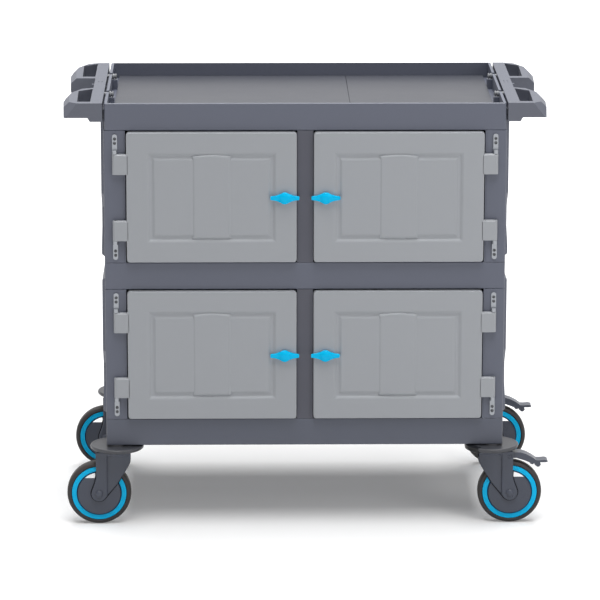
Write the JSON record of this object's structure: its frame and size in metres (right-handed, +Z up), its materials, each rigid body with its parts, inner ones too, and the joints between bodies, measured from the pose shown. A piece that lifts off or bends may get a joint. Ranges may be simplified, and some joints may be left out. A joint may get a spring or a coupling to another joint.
{
  "type": "medical cart",
  "caption": "Two-tier cart with hinged doors on latches, a rimmed work surface, push handles at both ends and swivel casters with pedal brakes on one side.",
  "frame": {"origin": "on the floor under the middle of the body", "axes": "+X across the cart towards its right-hand handle, -Y towards the doors, +Z up"},
  "size_m": [1.1252, 0.619, 1.0027],
  "materials": {
    "body_plastic": "fine moulded grain, slate grey",
    "work_surface": "fine moulded grain, slate grey",
    "handle_plastic": "coarser grip grain, slate grey",
    "door_plastic": "satin moulded, light grey",
    "accent_plastic": "smooth moulded, bright blue",
    "caster_plastic": "satin moulded, dark slate",
    "bush_plastic": "smooth machined, off-white",
    "tyre_rubber": "satin, dark grey",
    "bright_steel": "zinc plated, satin"
  },
  "bodies": {
    "cart_body": {"top_tray": "body_plastic", "mid_deck": "body_plastic", "base_deck": "body_plastic", "side_frame_upper_left": "body_plastic", "side_frame_upper_right": "body_plastic", "side_frame_lower_left": "body_plastic", "side_frame_lower_right": "body_plastic", "side_panels": "body_plastic", "centre_wall_upper": "body_plastic", "centre_wall_lower": "body_plastic", "back_panels": "body_plastic", "deck_panels": "work_surface", "handle_left": "handle_plastic", "handle_right": "handle_plastic", "bumper_discs": "caster_plastic", "handle_bolts": "bright_steel", "hinge_plates": "bright_steel", "hinge_screws": "bright_steel", "swivel_plates": "bright_steel", "caster_bolts": "bright_steel"},
    "upper_left_door": {"door_upper_left": "door_plastic"},
    "upper_left_latch": {"latch_knob_upper_left": "accent_plastic", "latch_cam_upper_left": "bright_steel"},
    "upper_right_door": {"door_upper_right": "door_plastic"},
    "upper_right_latch": {"latch_knob_upper_right": "accent_plastic", "latch_cam_upper_right": "bright_steel"},
    "lower_left_door": {"door_lower_left": "door_plastic"},
    "lower_left_latch": {"latch_knob_lower_left": "accent_plastic", "latch_cam_lower_left": "bright_steel"},
    "lower_right_door": {"door_lower_right": "door_plastic"},
    "lower_right_latch": {"latch_knob_lower_right": "accent_plastic", "latch_cam_lower_right": "bright_steel"},
    "front_left_swivel": {"caster_fork_front_left": "caster_plastic", "axle_front_left": "bright_steel", "thread_guards_front_left": "caster_plastic"},
    "front_left_wheel": {"tyre_front_left": "tyre_rubber", "wheel_centre_front_left": "accent_plastic", "wheel_bearing_front_left": "bush_plastic"},
    "front_right_swivel": {"caster_fork_front_right": "caster_plastic", "axle_front_right": "bright_steel", "thread_guards_front_right": "caster_plastic", "brake_housing_front_right": "caster_plastic"},
    "front_right_wheel": {"tyre_front_right": "tyre_rubber", "wheel_centre_front_right": "accent_plastic", "wheel_bearing_front_right": "bush_plastic"},
    "front_right_pedal": {"brake_pedal_front_right": "caster_plastic"},
    "rear_left_swivel": {"caster_fork_rear_left": "caster_plastic", "axle_rear_left": "bright_steel", "thread_guards_rear_left": "caster_plastic"},
    "rear_left_wheel": {"tyre_rear_left": "tyre_rubber", "wheel_centre_rear_left": "accent_plastic", "wheel_bearing_rear_left": "bush_plastic"},
    "rear_right_swivel": {"caster_fork_rear_right": "caster_plastic", "axle_rear_right": "bright_steel", "thread_guards_rear_right": "caster_plastic", "brake_housing_rear_right": "caster_plastic"},
    "rear_right_wheel": {"tyre_rear_right": "tyre_rubber", "wheel_centre_rear_right": "accent_plastic", "wheel_bearing_rear_right": "bush_plastic"},
    "rear_right_pedal": {"brake_pedal_rear_right": "caster_plastic"}
  },
  "joints": [
    {"name": "upper_left_door_hinge", "type": "hinge", "parent": "cart_body", "child": "upper_left_door", "pos_m": [-0.436, -0.278, 0.7842], "axis": [0, 0, -1], "range_deg": [0, 180]},
    {"name": "upper_left_latch_turn", "type": "hinge", "parent": "upper_left_door", "child": "upper_left_latch", "pos_m": [-0.047, -0.27, 0.7842], "axis": [0, -1, 0], "range_deg": [0, 90]},
    {"name": "upper_right_door_hinge", "type": "hinge", "parent": "cart_body", "child": "upper_right_door", "pos_m": [0.436, -0.278, 0.7842], "axis": [0, 0, 1], "range_deg": [0, 180]},
    {"name": "upper_right_latch_turn", "type": "hinge", "parent": "upper_right_door", "child": "upper_right_latch", "pos_m": [0.047, -0.27, 0.7842], "axis": [0, 1, 0], "range_deg": [0, 90]},
    {"name": "lower_left_door_hinge", "type": "hinge", "parent": "cart_body", "child": "lower_left_door", "pos_m": [-0.436, -0.278, 0.4116], "axis": [0, 0, -1], "range_deg": [0, 180]},
    {"name": "lower_left_latch_turn", "type": "hinge", "parent": "lower_left_door", "child": "lower_left_latch", "pos_m": [-0.047, -0.27, 0.4116], "axis": [0, -1, 0], "range_deg": [0, 90]},
    {"name": "lower_right_door_hinge", "type": "hinge", "parent": "cart_body", "child": "lower_right_door", "pos_m": [0.436, -0.278, 0.4116], "axis": [0, 0, 1], "range_deg": [0, 180]},
    {"name": "lower_right_latch_turn", "type": "hinge", "parent": "lower_right_door", "child": "lower_right_latch", "pos_m": [0.047, -0.27, 0.4116], "axis": [0, 1, 0], "range_deg": [0, 90]},
    {"name": "front_left_swivel_turn", "type": "hinge", "parent": "cart_body", "child": "front_left_swivel", "pos_m": [-0.438, -0.247, 0.17], "axis": [0, 0, 1], "continuous": true},
    {"name": "front_left_wheel_roll", "type": "hinge", "parent": "front_left_swivel", "child": "front_left_wheel", "pos_m": [-0.4805, -0.247, 0.075], "axis": [0, 1, 0], "continuous": true},
    {"name": "front_right_swivel_turn", "type": "hinge", "parent": "cart_body", "child": "front_right_swivel", "pos_m": [0.438, -0.247, 0.17], "axis": [0, 0, 1], "continuous": true},
    {"name": "front_right_wheel_roll", "type": "hinge", "parent": "front_right_swivel", "child": "front_right_wheel", "pos_m": [0.4805, -0.247, 0.075], "axis": [0, 1, 0], "continuous": true},
    {"name": "front_right_brake", "type": "hinge", "parent": "front_right_swivel", "child": "front_right_pedal", "pos_m": [0.4795, -0.247, 0.163], "axis": [0, 1, 0], "range_deg": [0, 7]},
    {"name": "rear_left_swivel_turn", "type": "hinge", "parent": "cart_body", "child": "rear_left_swivel", "pos_m": [-0.438, 0.247, 0.17], "axis": [0, 0, 1], "continuous": true},
    {"name": "rear_left_wheel_roll", "type": "hinge", "parent": "rear_left_swivel", "child": "rear_left_wheel", "pos_m": [-0.4805, 0.247, 0.075], "axis": [0, 1, 0], "continuous": true},
    {"name": "rear_right_swivel_turn", "type": "hinge", "parent": "cart_body", "child": "rear_right_swivel", "pos_m": [0.438, 0.247, 0.17], "axis": [0, 0, 1], "continuous": true},
    {"name": "rear_right_wheel_roll", "type": "hinge", "parent": "rear_right_swivel", "child": "rear_right_wheel", "pos_m": [0.4805, 0.247, 0.075], "axis": [0, 1, 0], "continuous": true},
    {"name": "rear_right_brake", "type": "hinge", "parent": "rear_right_swivel", "child": "rear_right_pedal", "pos_m": [0.4795, 0.247, 0.163], "axis": [0, 1, 0], "range_deg": [0, 7]}
  ]
}
